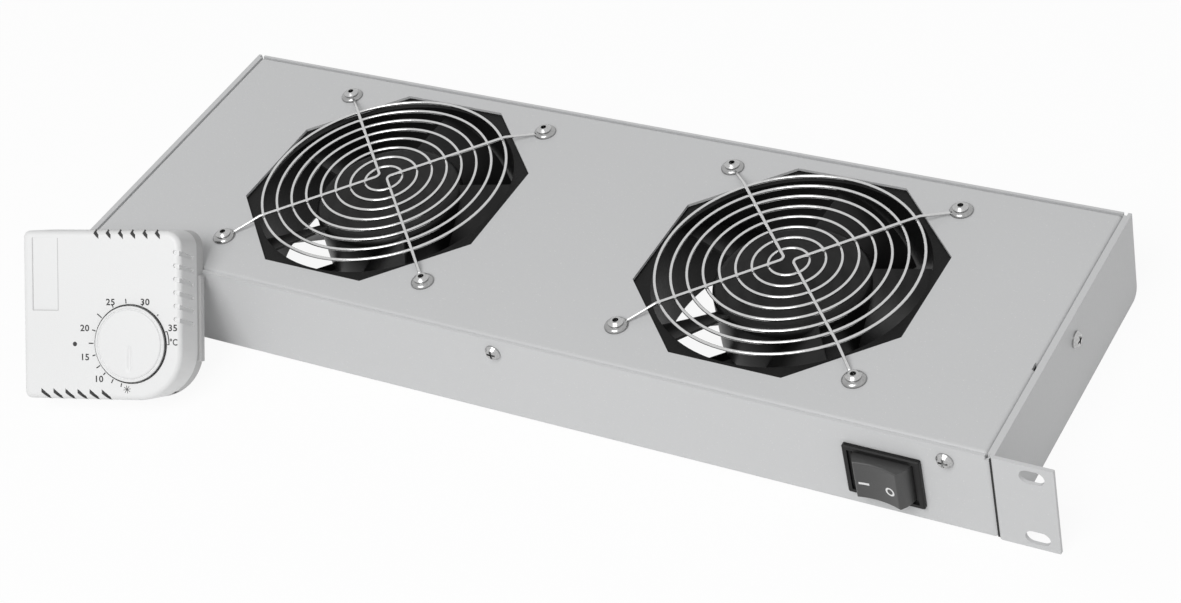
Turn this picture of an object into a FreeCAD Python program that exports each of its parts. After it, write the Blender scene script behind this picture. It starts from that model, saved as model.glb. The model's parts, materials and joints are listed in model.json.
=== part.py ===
"""Rack fan tray: a 1U sheet-metal tray with two fans under wire guards, and its room thermostat.

Millimetres, +Z up.  The origin is the middle of the tray's underside, the front panel faces -Y,
and the tray's length runs along X.  Every size below can be changed by itself.
"""
import FreeCAD, Part
import Sketcher
import math
import os
import re
from FreeCAD import Placement, Rotation, Vector

SIZES = {
    # folded tray and its cover
    "body_width": 433.0,        # across the folded front panel
    "body_depth": 145.0,
    "sheet": 1.2,               # steel of tray and cover
    "bend": 1.8,                # outside radius of a fold
    "seam": 0.3,                # between the cover and the walls round it
    "flange": 17.0,             # depth of the cover's folded edge at the sides
    "short_flange": 9.5,        # and at the front and rear, clear of switch and inlet
    "corner_slit": 2.0,         # relief cut where two folds meet
    "cover_notch": 4.0,         # slit in the cover's right-hand fold
    "notch_setback": 50.5,      # that slit behind the front
    # side plates with the rack ears
    "ear_reach": 23.3,          # makes the 482.6 mm of a 19 inch rack
    "slot_inset": 8.75,         # slot's middle from the ear's end: 465.1 mm apart
    "slots_apart": 31.75,
    "slot_length": 10.0,
    "slot_width": 6.5,
    "ear_sheet": 1.5,
    "ear_corner": 0.4,
    "plate_corner": 5.0,        # rounded lower rear corner of a side plate
    # fans
    "fan_size": 119.0,
    "fan_thick": 38.0,
    "fan_clearance": 3.8,       # under the fans, inside the tray
    "fan_inset": 117.0,         # fan axis from the tray's end
    "fan_offset": 2.8,          # fan axis behind the tray's middle
    "fan_hole_inset": 7.1,      # fixing holes from the frame's sides: a 104.8 mm square
    "fan_rim": 2.0,             # frame's least width beside the bore
    "fan_flange": 4.5,
    "fan_wall": 1.8,
    "fan_corner": 7.0,
    "opening_margin": 0.5,      # octagon in cover and floor, round a fan's sides
    "hub_diameter": 66.0,
    "hub_wall": 1.6,
    "hub_height": 27.0,
    "hub_edge": 4.0,
    "hub_top_gap": 3.0,         # hub's crown below the fan's face
    "blade_tip_gap": 0.9,
    "blade_height": 26.0,
    "blade_thick": 1.9,
    "blade_reach": 20.0,        # half the blade's run round the hub, at the tip
    "blade_root_reach": 12.5,
    "blade_camber": 4.0,        # rise of the blade's arc
    "blade_edge": 1.0,          # thickness at its edges
    "blade_count": 5,
    "left_turn": 75.0,          # angle at which each rotor stands
    "right_turn": 3.0,
    "motor_diameter": 62.0,
    "motor_plate": 3.0,
    "strut_width": 5.0,
    "strut_fit": 0.05,          # strut's end from the bore's wall
    "tube_diameter": 16.0,      # bearing tube on the motor plate
    "bearing_diameter": 12.0,
    "bearing_width": 4.0,
    "shaft_diameter": 4.0,
    "running_gap": 0.05,
    "stator_diameter": 52.0,
    "stator_height": 12.0,
    # wire guards
    "guard_inset": 2.5,         # outermost ring inside the fan's bore
    "guard_eye": 8.4,           # innermost ring
    "guard_rings": 8,
    "guard_wire": 1.4,
    "guard_lift": 3.4,          # middle of the rings above the cover
    "guard_hairpin": 2.4,       # radius at which a cross wire turns back by the middle
    "guard_cross_gap": 3.8,     # between the two hairpins
    "eyelet_diameter": 10.0,
    "eyelet_thick": 1.8,
    "rivet_shank": 4.0,
    "rivet_head": 6.6,
    "rivet_dome": 1.5,
    "rivet_hollow": 2.5,
    # screws
    "screw_head": 7.0,
    "screw_dome": 2.2,
    "screw_shank": 3.5,
    "screw_length": 6.5,
    "screw_fit": 0.1,           # clearance round a fastener in its hole
    "screw_drop": 7.0,          # front and rear screws, under the cover
    "screw_inset": 18.1,        # from the tray's ends
    "nut_across": 6.5,
    "nut_thick": 2.2,
    "side_screw_drop": 11.5,
    "side_screw_y": 8.0,
    # rocker switch
    "switch_inset": 44.2,       # from the tray's right end
    "switch_drop": 1.2,         # under half height
    "bezel_width": 32.0,
    "bezel_height": 25.0,
    "bezel_thick": 2.0,
    "bezel_rim": 2.0,
    "bezel_corner": 0.8,
    "switch_body_width": 27.4,
    "switch_body_height": 21.6,
    "switch_body_depth": 20.0,
    "rocker_half": 9.0,         # from the middle of the rocker's face to its end
    "rocker_height": 18.6,
    "rocker_gap": 0.35,
    "rocker_rise": 7.0,         # ends of the face above the panel, rocker level
    "rocker_dish": 1.2,         # hollow of the face
    "rocker_edge": 0.6,
    "rocker_pivot": 1.5,        # pin behind the panel's face
    "rocker_pin": 3.0,
    "rocker_throw": 8.0,       # turn from on to off, degrees
    # mains inlet at the rear
    "inlet_inset": 29.5,
    "inlet_drop": 2.0,          # under half height
    "inlet_flange": 50.0,
    "inlet_height": 22.0,
    "inlet_plate": 3.0,
    "inlet_body_width": 27.0,
    "inlet_body_height": 19.6,
    "inlet_depth": 22.0,
    "inlet_socket_width": 24.0,
    "inlet_socket_height": 15.8,
    "inlet_socket_depth": 16.0,
    "inlet_screws": 40.0,
    # lead grommet, terminal block and earth stud
    "grommet_inset": 29.5,
    "grommet_bore": 6.5,
    "grommet_diameter": 14.0,
    "grommet_hole": 10.5,
    "block_length": 36.0,
    "block_depth": 17.0,
    "block_height": 14.0,
    "block_inset": 26.5,        # from the rear
    "block_poles": 4,
    "stud_inset": 28.5,
    "stud_y": 5.0,
    "stud_diameter": 4.0,
    "stud_length": 14.0,
    # room thermostat
    "stat_width": 75.0,
    "stat_height": 72.5,
    "stat_depth": 22.0,
    "stat_base": 6.0,
    "stat_wall": 1.8,
    "stat_gap": 0.2,
    "stat_corner": 3.0,
    "stat_top_corner": 7.0,
    "stat_dial_corner": 21.0,
    "stat_edge": 2.5,
    "stat_yaw": 15.8,
    "stat_lean": 38.85,
    "stat_along": 41.8,         # middle of its foot from the tray's left end
    "stat_inset": 4.0,          # where the tray's edge touches its back, from its right side
    "dial_x": 13.9,
    "dial_z": 24.2,
    "dial_diameter": 33.0,
    "dial_cap": 29.4,
    "dial_rise": 3.2,
    "dial_gap": 0.6,
    "dial_well": 1.2,
    "dial_flange": 1.6,
    "spindle_diameter": 6.0,
    "spindle_length": 12.0,
    "stat_floor": 2.0,
    "top_louvres": 3.4,         # first slot's upper end, left of the middle
    "top_louvre_rim": 0.2,      # and below the top
    "top_louvre_run": 2.6,
    "top_louvre_fall": 2.4,
    "low_louvres": 29.1,
    "low_louvre_rim": 0.4,      # slots' lower ends above the bottom
    "low_louvre_run": 4.1,
    "low_louvre_fall": 3.2,
    "snap_left": -8.0,          # snap switch, from the middle
    "snap_low": 44.0,
    "snap_length": 20.0,
    "snap_height": 6.5,
    "snap_depth": 8.0,
    "plunger_inset": 14.0,
    "plunger_width": 3.0,
    "plunger_reach": 1.0,
    "post_width": 3.0,          # bimetal's post, against the base's wall
    "post_low": 38.0,
    "post_height": 10.0,
    "strip_rise": 2.0,
    "strip_thick": 0.8,
    "strip_climb": 0.6,
    "strip_overlap": 2.0,       # strip's end inside the snap switch's
    "strip_width": 7.0,
    "stat_block_inset": 6.5,
    "stat_block_low": 8.0,
    "stat_block_height": 11.0,
    "stat_block_depth": 9.0,
    "stat_pole_edge": 5.0,
    "stat_pole_pitch": 8.0,
    "stat_well": 4.0,
    "stat_well_depth": 4.0,
    "contact_pitch": 7.0,       # the mains inlet's three blades
    "contact_rise": 1.5,        # of the middle blade
    "contact_thick": 2.0,
    "contact_width": 4.0,
    "wall_screws": 52.0,
    "label_inset": 5.1,
    "label_width": 11.8,
    "label_low": 38.3,
    "louvre_pitch": 5.8,
    "louvre_width": 1.9,
    "grip_width": 1.9,          # slanting grooves over the right edge
    "grip_depth": 0.75,
    "grip_pitch": 5.7,
    "grip_top": 63.7,           # uppermost groove's end on the face
    "grip_reach": 3.3,          # from that end to the cover's right side
    "grip_run": 13.0,           # length down the side
    "grip_slant": 11.0,         # degrees
    "tongue_reach": 1.2,
    "tongue_low": 16.0,
    "tongue_high": 53.0,
}

# sizes and places that follow from those above
RULES = {
    "body_height": "fan_thick + sheet + fan_clearance",
    "overall_width": "body_width + 2*ear_sheet + 2*ear_reach",
    "slots_across": "overall_width - 2*slot_inset",
    "cover_notch_y": "notch_setback - body_depth/2",
    "fan_spread": "body_width/2 - fan_inset",
    "fan_bore": "fan_size - 2*fan_rim",
    "fan_holes": "fan_size - 2*fan_hole_inset",
    "opening_across": "fan_size + 2*opening_margin",
    "guard_radius": "fan_bore/2 - guard_inset",
    "guard_pitch": "(guard_radius - guard_eye)/(guard_rings - 1)",
    "screw_height": "body_height - screw_drop",
    "side_screw_height": "body_height - side_screw_drop",
    "screw_spread": "body_width/2 - screw_inset",
    "switch_x": "body_width/2 - switch_inset",
    "switch_z": "body_height/2 - switch_drop",
    "inlet_x": "body_width/2 - inlet_inset",
    "inlet_z": "body_height/2 - inlet_drop",
    "grommet_x": "grommet_inset - body_width/2",
    "block_y": "body_depth/2 - block_inset",
    "stud_x": "body_width/2 - stud_inset",
    "stat_foot_x": "stat_along - body_width/2",
}

# ---------------------------------------------------------------- document, sheet and small helpers
doc = FreeCAD.newDocument("RackFanTray")
sheet = doc.addObject("Spreadsheet::Sheet", "Sizes")
for row, (size, value) in enumerate(SIZES.items(), start=1):
    sheet.set(f"A{row}", size)
    sheet.set(f"B{row}", str(value))
    sheet.setAlias(f"B{row}", size)
doc.recompute()

TINY = 0.01
nodes = []


def named(rule):
    """A rule such as 'body_width/2 - sheet', with RULES written out and each size read from the sheet."""
    def spell(match):
        word = match[0]
        if word in RULES:
            return f"({named(RULES[word])})"
        return "Sizes." + word if word in SIZES else word
    return re.sub(r"[a-z]\w*", spell, rule)


def amount(rule):
    return float(sheet.evalExpression(named(rule)))


def bind(thing, **rules):
    """Tie properties of a document object to rules on the sheet."""
    for name, rule in rules.items():
        thing.setExpression(name.replace("__", "."), named(rule))


def new_body(label, x="0", y="0", z="0", frame=None):
    """A body at a place given by rules, or in a turned frame.  A label that starts with
    'template' belongs to a piece that is only copied."""
    body = doc.addObject("PartDesign::Body", label)
    body.Label = label
    if frame is None:
        bind(body, Placement__Base__x=x, Placement__Base__y=y, Placement__Base__z=z)
    else:
        body.Placement = frame
    if not label.startswith("template"):
        nodes.append(body)
    return body


def origin_part(body, role):
    return next(item for item in body.Origin.OriginFeatures if item.Role == role)


def box(x0, y0, x1, y1):
    """Corners of a rectangle, for sketch()."""
    return [(x0, y0), (x1, y0), (x1, y1), (x0, y1)]


def octagon(x, y, across):
    """Corners of a regular octagon whose flats lie along the edges."""
    half, side = f"({across})/2", f"({across})/2*tan(22.5)"
    corners = [(half, f"-{side}"), (half, side), (side, half), (f"-{side}", half),
               (f"-{half}", side), (f"-{half}", f"-{side}"), (f"-{side}", f"-{half}"), (side, f"-{half}")]
    return [(f"{x} + ({cx})", f"{y} + ({cy})") for cx, cy in corners]


def tie(profile, kind, geometry, point, rule):
    """A distance from the sketch's origin to a point, bound to a rule."""
    index = profile.addConstraint(Sketcher.Constraint(kind, -1, 1, geometry, point, amount(rule)))
    profile.setExpression(f"Constraints[{index}]", named(rule))


def tie_radius(profile, geometry, rule):
    index = profile.addConstraint(Sketcher.Constraint("Radius", geometry, amount(rule)))
    profile.setExpression(f"Constraints[{index}]", named(rule))


def add_circle(profile, x, y, radius):
    centre = Vector(amount(x), amount(y), 0)
    index = profile.addGeometry(Part.Circle(centre, Vector(0, 0, 1), amount(radius)), False)
    tie(profile, "DistanceX", index, 3, x)
    tie(profile, "DistanceY", index, 3, y)
    tie_radius(profile, index, radius)


def add_slot(profile, x, y, length, width):
    """An obround hole that runs along the sketch's x."""
    radius, reach = f"({width})/2", f"(({length}) - ({width}))/2"
    ends = []
    for sign, start in ((1, -90), (-1, 90)):
        centre = Vector(amount(x) + sign * amount(reach), amount(y), 0)
        circle = Part.Circle(centre, Vector(0, 0, 1), amount(radius))
        arc = Part.ArcOfCircle(circle, math.radians(start), math.radians(start + 180))
        ends.append(profile.addGeometry(arc, False))
        tie(profile, "DistanceX", ends[-1], 3, f"{x} + {sign}*{reach}")
        tie(profile, "DistanceY", ends[-1], 3, y)
    tie_radius(profile, ends[0], radius)
    profile.addConstraint(Sketcher.Constraint("Equal", ends[0], ends[1]))
    for first, second in (ends, ends[::-1]):
        arcs = profile.Geometry
        line = profile.addGeometry(Part.LineSegment(arcs[first].EndPoint, arcs[second].StartPoint), False)
        profile.addConstraint(Sketcher.Constraint("Tangent", first, 2, line, 1))
        profile.addConstraint(Sketcher.Constraint("Tangent", line, 2, second, 1))


def add_outline(profile, corners):
    """A closed outline. A corner (x, y, r) starts an arc of radius r to the next corner: it bulges
    to the right of the way round when r is positive, and to the left when it is written '-...'."""
    places = [Vector(amount(corner[0]), amount(corner[1]), 0) for corner in corners]
    ends = []
    for number, corner in enumerate(corners):
        start, stop = places[number], places[(number + 1) % len(places)]
        if len(corner) == 2:
            index = profile.addGeometry(Part.LineSegment(start, stop), False)
            ends.append((index, 1, 2))
            continue
        radius = amount(corner[2])
        chord = stop - start
        left = Vector(-chord.y, chord.x, 0).normalize()
        rise = abs(radius) - math.sqrt(radius ** 2 - chord.Length ** 2 / 4)
        middle = (start + stop) / 2 - left * math.copysign(rise, radius)
        index = profile.addGeometry(Part.Arc(start, middle, stop), False)
        ends.append((index, 1, 2) if radius > 0 else (index, 2, 1))
        tie_radius(profile, index, corner[2].lstrip("-"))
    for number, (index, start, stop) in enumerate(ends):
        following = ends[(number + 1) % len(ends)]
        profile.addConstraint(Sketcher.Constraint("Coincident", index, stop, following[0], following[1]))
        tie(profile, "DistanceX", index, start, corners[number][0])
        tie(profile, "DistanceY", index, start, corners[number][1])


def sketch(body, role, *loops, lift="0", turn=0):
    """Closed loops on a plane of the body's own origin, lifted along the plane's normal and turned
    about it.  A loop is a list of corners, ("circle", x, y, radius) or ("slot", x, y, length, width)."""
    profile = body.newObject("Sketcher::SketchObject", body.Label + "_sketch")
    profile.AttachmentSupport = [(origin_part(body, role), "")]
    profile.MapMode = "FlatFace"
    profile.AttachmentOffset = Placement(Vector(), Rotation(Vector(0, 0, 1), turn))
    bind(profile, AttachmentOffset__Base__z=lift)
    for loop in loops:
        if loop[0] == "circle":
            add_circle(profile, *loop[1:])
        elif loop[0] == "slot":
            add_slot(profile, *loop[1:])
        else:
            add_outline(profile, loop)
    doc.recompute()
    return profile


def extrude(kind, body, profile, length, both_ways, reverse):
    feature = body.newObject("PartDesign::" + kind, body.Label + "_" + kind.lower())
    feature.Profile = profile
    bind(feature, Length=length)
    feature.Midplane = both_ways
    feature.Reversed = reverse
    doc.recompute()
    return feature


def pad(body, profile, length, both_ways=False, reverse=False):
    return extrude("Pad", body, profile, length, both_ways, reverse)


def pocket(body, profile, length, both_ways=False, reverse=False):
    """Cuts against the plane's normal, and says so if nothing was cut."""
    before = body.Shape.Volume
    feature = extrude("Pocket", body, profile, length, both_ways, reverse)
    if before - feature.Shape.Volume < TINY:
        raise ValueError(feature.Label + " cuts nothing")
    return feature


def revolve(body, profile, axis="Z_Axis"):
    feature = body.newObject("PartDesign::Revolution", body.Label + "_revolution")
    feature.Profile = profile
    feature.ReferenceAxis = (origin_part(body, axis), [""])
    feature.Angle = 360
    doc.recompute()
    return feature


def dress(kind, body, radius, pick):
    """A fillet or chamfer on the edges of the body's last feature that pick() chooses."""
    base = body.Tip
    names = [f"Edge{number}" for number, edge in enumerate(base.Shape.Edges, start=1) if pick(edge)]
    feature = body.newObject("PartDesign::" + kind, body.Label + "_" + kind.lower())
    feature.Base = (base, names)
    bind(feature, **{"Radius" if kind == "Fillet" else "Size": radius})
    doc.recompute()
    return feature


def fillet(body, radius, pick):
    return dress("Fillet", body, radius, pick)


def hollow(body, wall, pick):
    """Turns the body's block into a shell, open at the faces that pick() chooses."""
    base = body.Tip
    names = [f"Face{number}" for number, face in enumerate(base.Shape.Faces, start=1) if pick(face)]
    feature = body.newObject("PartDesign::Thickness", body.Label + "_shell")
    feature.Base = (base, names)
    bind(feature, Value=wall)
    feature.Reversed = True
    doc.recompute()
    return feature


def upright(edge):
    """True for a straight edge along Z."""
    size = edge.BoundBox
    return size.XLength < TINY and size.YLength < TINY


def group(label, solids, frame=Placement()):
    """Loose solids of one kind as one node."""
    node = doc.addObject("Part::Feature", label)
    node.Label = label
    node.Shape = Part.makeCompound(solids)
    node.Placement = frame
    nodes.append(node)
    return node


def copies(template, places):
    """The template's solid at each place, which is a Placement."""
    solids = []
    for place in places:
        solid = template.Shape.copy()
        solid.Placement = place.multiply(solid.Placement)
        solids.append(solid)
    return solids


# ---------------------------------------------------------------- tray: one folded sheet
front, rear = "-body_depth/2", "body_depth/2"
fan_y = "fan_offset"
half_width = "body_width/2"
cover_front = "(sheet + seam - body_depth/2)"
cover_half = "(body_width/2 - sheet - seam)"
screw_hole = "screw_shank/2 + screw_fit"
sides = (("left", -1), ("right", 1))

chassis = new_body("chassis")
pad(chassis, sketch(chassis, "XY_Plane", box("-body_width/2", front, half_width, rear)), "body_height")
fillet(chassis, "bend", upright)
fillet(chassis, "bend", lambda edge: edge.BoundBox.ZMax < TINY)
hollow(chassis, "sheet", lambda face: face.BoundBox.ZMin > amount("body_height") - TINY)
air_openings = sketch(chassis, "XY_Plane", octagon("-fan_spread", fan_y, "opening_across"),
                      octagon("fan_spread", fan_y, "opening_across"), lift="sheet")
pocket(chassis, air_openings, "sheet*2")
corner_slits = sketch(chassis, "XY_Plane", *[box(f"{x}*{half_width}", f"{y}*{rear}",
                                                 f"{x}*({half_width} - bend)", f"{y}*({rear} - bend)")
                                             for x in (-1, 1) for y in (-1, 1)], lift="body_height")
pocket(chassis, corner_slits, "corner_slit")
front_holes = sketch(chassis, "XZ_Plane",
                     box("switch_x - switch_body_width/2 - screw_fit", "switch_z - switch_body_height/2 - screw_fit",
                         "switch_x + switch_body_width/2 + screw_fit", "switch_z + switch_body_height/2 + screw_fit"),
                     *[("circle", f"{side}*screw_spread", "screw_height", screw_hole) for side in (-1, 0, 1)],
                     lift=rear)
pocket(chassis, front_holes, "sheet*2")
rear_holes = sketch(chassis, "XZ_Plane",
                    box("inlet_x - inlet_body_width/2 - screw_fit", "inlet_z - inlet_body_height/2 - screw_fit",
                        "inlet_x + inlet_body_width/2 + screw_fit", "inlet_z + inlet_body_height/2 + screw_fit"),
                    *[("circle", f"inlet_x + {side}*inlet_screws/2", "inlet_z", screw_hole) for side in (-1, 1)],
                    ("circle", "grommet_x", "inlet_z", "grommet_hole/2"),
                    *[("circle", f"{side}*screw_spread", "screw_height", screw_hole) for side in (-1, 0, 1)],
                    lift=front)
pocket(chassis, rear_holes, "sheet*2", reverse=True)
side_hole = ("circle", "side_screw_y", "side_screw_height", screw_hole)
pocket(chassis, sketch(chassis, "YZ_Plane", side_hole), "body_width + 2", both_ways=True)
floor_holes = sketch(chassis, "XY_Plane", ("circle", "stud_x", "stud_y", "stud_diameter/2 + screw_fit"), lift="sheet")
pocket(chassis, floor_holes, "sheet*2")

# ---------------------------------------------------------------- side plates, folded out as rack ears
for side, way in sides:
    plate = new_body(f"side_plate_{side}")
    inner, outer, tip = f"{way}*{half_width}", f"{way}*({half_width} + ear_sheet)", f"{way}*overall_width/2"
    plan = [(inner, front), (tip, front), (tip, f"{front} + ear_sheet"),
            (outer, f"{front} + ear_sheet"), (outer, rear), (inner, rear)]
    pad(plate, sketch(plate, "XY_Plane", plan), "body_height")
    inner_x, outer_x, tip_x = amount(inner), amount(outer), amount(tip)
    front_y, rear_y = amount(front), amount(rear)
    fillet(plate, "bend", lambda edge: upright(edge) and math.dist(edge.BoundBox.Center[:2], (inner_x, front_y)) < TINY)
    fillet(plate, "bend - ear_sheet", lambda edge: upright(edge)
           and math.dist(edge.BoundBox.Center[:2], (outer_x, front_y + amount("ear_sheet"))) < TINY)
    fillet(plate, "ear_corner", lambda edge: abs(edge.BoundBox.Center.x - tip_x) < TINY and edge.BoundBox.ZLength < TINY)
    fillet(plate, "plate_corner", lambda edge: edge.BoundBox.YMin > rear_y - TINY and edge.BoundBox.ZMax < TINY)
    slots = [("slot", f"{way}*slots_across/2", f"body_height/2 + {up}*slots_apart/2", "slot_length", "slot_width")
             for up in (-1, 1)]
    pocket(plate, sketch(plate, "XZ_Plane", *slots, lift=rear), "ear_sheet*2")
    pocket(plate, sketch(plate, "YZ_Plane", side_hole), "overall_width + 2", both_ways=True)

# ---------------------------------------------------------------- cover: a lid with folded edges inside the walls
cover = new_body("top_cover")
cover_plan = box(f"-{cover_half}", cover_front, cover_half, f"-{cover_front}")
pad(cover, sketch(cover, "XY_Plane", cover_plan, lift="body_height - flange"), "flange")
fillet(cover, "bend", upright)
fillet(cover, "bend", lambda edge: edge.BoundBox.ZMin > amount("body_height") - TINY)
hollow(cover, "sheet", lambda face: face.BoundBox.ZMax < amount("body_height - flange") + TINY)
inner_face = f"({cover_front} + sheet)"
low_edges = [box(f"bend - {cover_half}", f"{y}*({cover_front} - 1)", f"{cover_half} - bend", f"{y}*{inner_face}")
             for y in (-1, 1)]
pocket(cover, sketch(cover, "XY_Plane", *low_edges, lift="body_height - short_flange"), "flange")
holes = [("circle", f"{way}*fan_spread + {x}*fan_holes/2", f"{fan_y} + {y}*fan_holes/2", "rivet_shank/2 + screw_fit")
         for side, way in sides for x in (-1, 1) for y in (-1, 1)]
cover_openings = sketch(cover, "XY_Plane", octagon("-fan_spread", fan_y, "opening_across"),
                        octagon("fan_spread", fan_y, "opening_across"), *holes, lift="body_height")
pocket(cover, cover_openings, "sheet*2")
fold_holes = [("circle", f"{side}*screw_spread", "screw_height", screw_hole) for side in (-1, 0, 1)]
pocket(cover, sketch(cover, "XZ_Plane", *fold_holes), "body_depth", both_ways=True)
pocket(cover, sketch(cover, "YZ_Plane", side_hole), "body_width", both_ways=True)
notch = box(f"{cover_half} - sheet", "cover_notch_y - cover_notch/2", f"{cover_half} + 1", "cover_notch_y + cover_notch/2")
pocket(cover, sketch(cover, "XY_Plane", notch, lift="body_height"), "cover_notch")

# ---------------------------------------------------------------- fans, each built about its own axis
fan_floor = "(body_height - sheet - fan_thick)"
crown = "(fan_thick - hub_top_gap)"
hub_base = f"({crown} - hub_height)"
cavity_top = f"({crown} - hub_wall)"
tube_top = f"({cavity_top} - bearing_width - 1)"
lower_bearing = "motor_plate"
upper_bearing = f"({tube_top} - bearing_width)"
diagonal_corners = [(x, y) for x in (-1, 1) for y in (-1, 1)]


def strut(angle):
    """Plan of one strut, from the motor plate to the bore's wall."""
    c, s = math.cos(math.radians(angle)), math.sin(math.radians(angle))
    wall = "(sqrt(fan_bore^2/4 - strut_width^2/4) - strut_fit)"
    reach = [("motor_diameter/2 - 2", "-strut_width/2"), (wall, "-strut_width/2"), (wall, "strut_width/2"),
             ("motor_diameter/2 - 2", "strut_width/2")]
    return [(f"({u})*{c:.6f} - ({v})*{s:.6f}", f"({u})*{s:.6f} + ({v})*{c:.6f}") for u, v in reach]


def blade_section(reach):
    """Crescent across a blade: it climbs the way the angle grows, and is hollow underneath.
    Each arc's radius follows from its chord and its rise in the middle."""
    low, high = f"({hub_base} + 1)", f"({hub_base} + blade_height)"
    half_chord = f"(({reach})^2 + (blade_height - 1)^2/4)"
    upper, lower = [f"({half_chord}/(2*({rise})) + ({rise})/2)"
                    for rise in ("blade_camber", "blade_camber - blade_thick + blade_edge")]
    back, drop = "0.56*blade_edge", "0.83*blade_edge"
    return [(f"-({reach})", low), (f"{back} - ({reach})", f"{low} - {drop}", "-" + lower),
            (f"{reach} + {back}", f"{high} - {drop}"), (reach, high, upper)]


for side, way in sides:
    fan_place = (f"{way}*fan_spread", fan_y, fan_floor)

    frame = new_body(f"fan_frame_{side}", *fan_place)
    pad(frame, sketch(frame, "XY_Plane", box("-fan_size/2", "-fan_size/2", "fan_size/2", "fan_size/2")), "fan_thick")
    fillet(frame, "fan_corner", upright)
    bore = [("circle", "0", "0", "fan_bore/2")] + [("circle", f"{x}*fan_holes/2", f"{y}*fan_holes/2",
                                                    "rivet_shank/2 + screw_fit") for x, y in diagonal_corners]
    pocket(frame, sketch(frame, "XY_Plane", *bore, lift="fan_thick"), "fan_thick")
    waist = sketch(frame, "XY_Plane", box("-fan_size", "-fan_size", "fan_size", "fan_size"),
                   ("circle", "0", "0", "fan_bore/2 + fan_wall"), lift="fan_thick - fan_flange")
    pocket(frame, waist, "fan_thick - 2*fan_flange")

    spider = new_body(f"fan_spider_{side}", *fan_place)
    pad(spider, sketch(spider, "XY_Plane", *[strut(45 + 90 * k) for k in range(4)]), "motor_plate + 2")
    pad(spider, sketch(spider, "XY_Plane", ("circle", "0", "0", "motor_diameter/2")), "motor_plate")
    pad(spider, sketch(spider, "XY_Plane", ("circle", "0", "0", "tube_diameter/2")), tube_top)
    pocket(spider, sketch(spider, "XY_Plane", ("circle", "0", "0", "bearing_diameter/2 - 1.2"), lift=tube_top),
           f"{tube_top} - 1")
    for seat_top in (tube_top, f"({lower_bearing} + bearing_width)"):
        seat = sketch(spider, "XY_Plane", ("circle", "0", "0", "bearing_diameter/2"), lift=seat_top)
        pocket(spider, seat, "bearing_width")

    bearings = new_body(f"fan_bearings_{side}", *fan_place)
    for seat in (lower_bearing, upper_bearing):
        ring = sketch(bearings, "XY_Plane", ("circle", "0", "0", "bearing_diameter/2"),
                      ("circle", "0", "0", "shaft_diameter/2 + running_gap"), lift=seat)
        pad(bearings, ring, "bearing_width")

    stator = new_body(f"fan_stator_{side}", *fan_place)
    core_floor = f"({hub_base} + 4)"
    core = sketch(stator, "XY_Plane", ("circle", "0", "0", "stator_diameter/2"), ("circle", "0", "0", "tube_diameter/2"),
                  lift=core_floor)
    pad(stator, core, "stator_height")
    slots = [box(f"{x}*(tube_diameter/2 + 8)", "-1.5", f"{x}*(stator_diameter/2 + 1)", "1.5") for x in (-1, 1)]
    slots += [box("-1.5", f"{y}*(tube_diameter/2 + 8)", "1.5", f"{y}*(stator_diameter/2 + 1)") for y in (-1, 1)]
    pocket(stator, sketch(stator, "XY_Plane", *slots, lift=f"{core_floor} + stator_height"), "stator_height")
    winding = sketch(stator, "XY_Plane", ("circle", "0", "0", "stator_diameter/2 - 5"),
                     ("circle", "0", "0", "tube_diameter/2 + 3"), lift=f"{core_floor} - 3")
    pad(stator, winding, "stator_height + 6")

    shaft = new_body(f"fan_shaft_{side}", *fan_place)
    pad(shaft, sketch(shaft, "XY_Plane", ("circle", "0", "0", "shaft_diameter/2"), lift="motor_plate - 1"),
        f"{cavity_top} - motor_plate + 1")
    dress("Chamfer", shaft, "0.5", lambda edge: edge.BoundBox.ZMax < amount("motor_plate"))

    rotor = new_body(f"fan_rotor_{side}", *fan_place)
    pad(rotor, sketch(rotor, "XY_Plane", ("circle", "0", "0", "hub_diameter/2"), lift=hub_base), "hub_height")
    fillet(rotor, "hub_edge", lambda edge: edge.BoundBox.ZMin > amount(crown) - TINY)
    sections = [sketch(rotor, "YZ_Plane", blade_section(reach), lift=radius)
                for radius, reach in (("hub_diameter/2 - 5", "blade_root_reach"), ("fan_bore/2 + 2", "blade_reach"))]
    blade = rotor.newObject("PartDesign::AdditiveLoft", f"blade_{side}")
    blade.Profile = sections[0]
    blade.Sections = sections[1:]
    doc.recompute()
    blades = rotor.newObject("PartDesign::PolarPattern", f"blades_{side}")
    blades.Originals = [blade]
    blades.Axis = (origin_part(rotor, "Z_Axis"), [""])
    blades.Angle = 360
    blades.Occurrences = int(amount("blade_count"))
    rotor.Tip = blades
    doc.recompute()
    between_blades = 180 / amount("blade_count")
    beyond_tips = sketch(rotor, "XY_Plane", ("circle", "0", "0", "fan_size"),
                         ("circle", "0", "0", "fan_bore/2 - blade_tip_gap"), lift="2*fan_thick", turn=between_blades)
    pocket(rotor, beyond_tips, "4*fan_thick", both_ways=True)
    cavity = sketch(rotor, "XY_Plane", ("circle", "0", "0", "hub_diameter/2 - hub_wall"), lift=cavity_top,
                    turn=between_blades)
    pocket(rotor, cavity, "fan_thick")
    pad(rotor, sketch(rotor, "XY_Plane", ("circle", "0", "0", "shaft_diameter + 1"),
                      ("circle", "0", "0", "shaft_diameter/2"), lift=cavity_top), "bearing_width", reverse=True)
    bind(rotor, Placement__Rotation__Angle=f"{side}_turn")
    rotor.Placement.Rotation = Rotation(Vector(0, 0, 1), amount(f"{side}_turn"))

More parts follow.
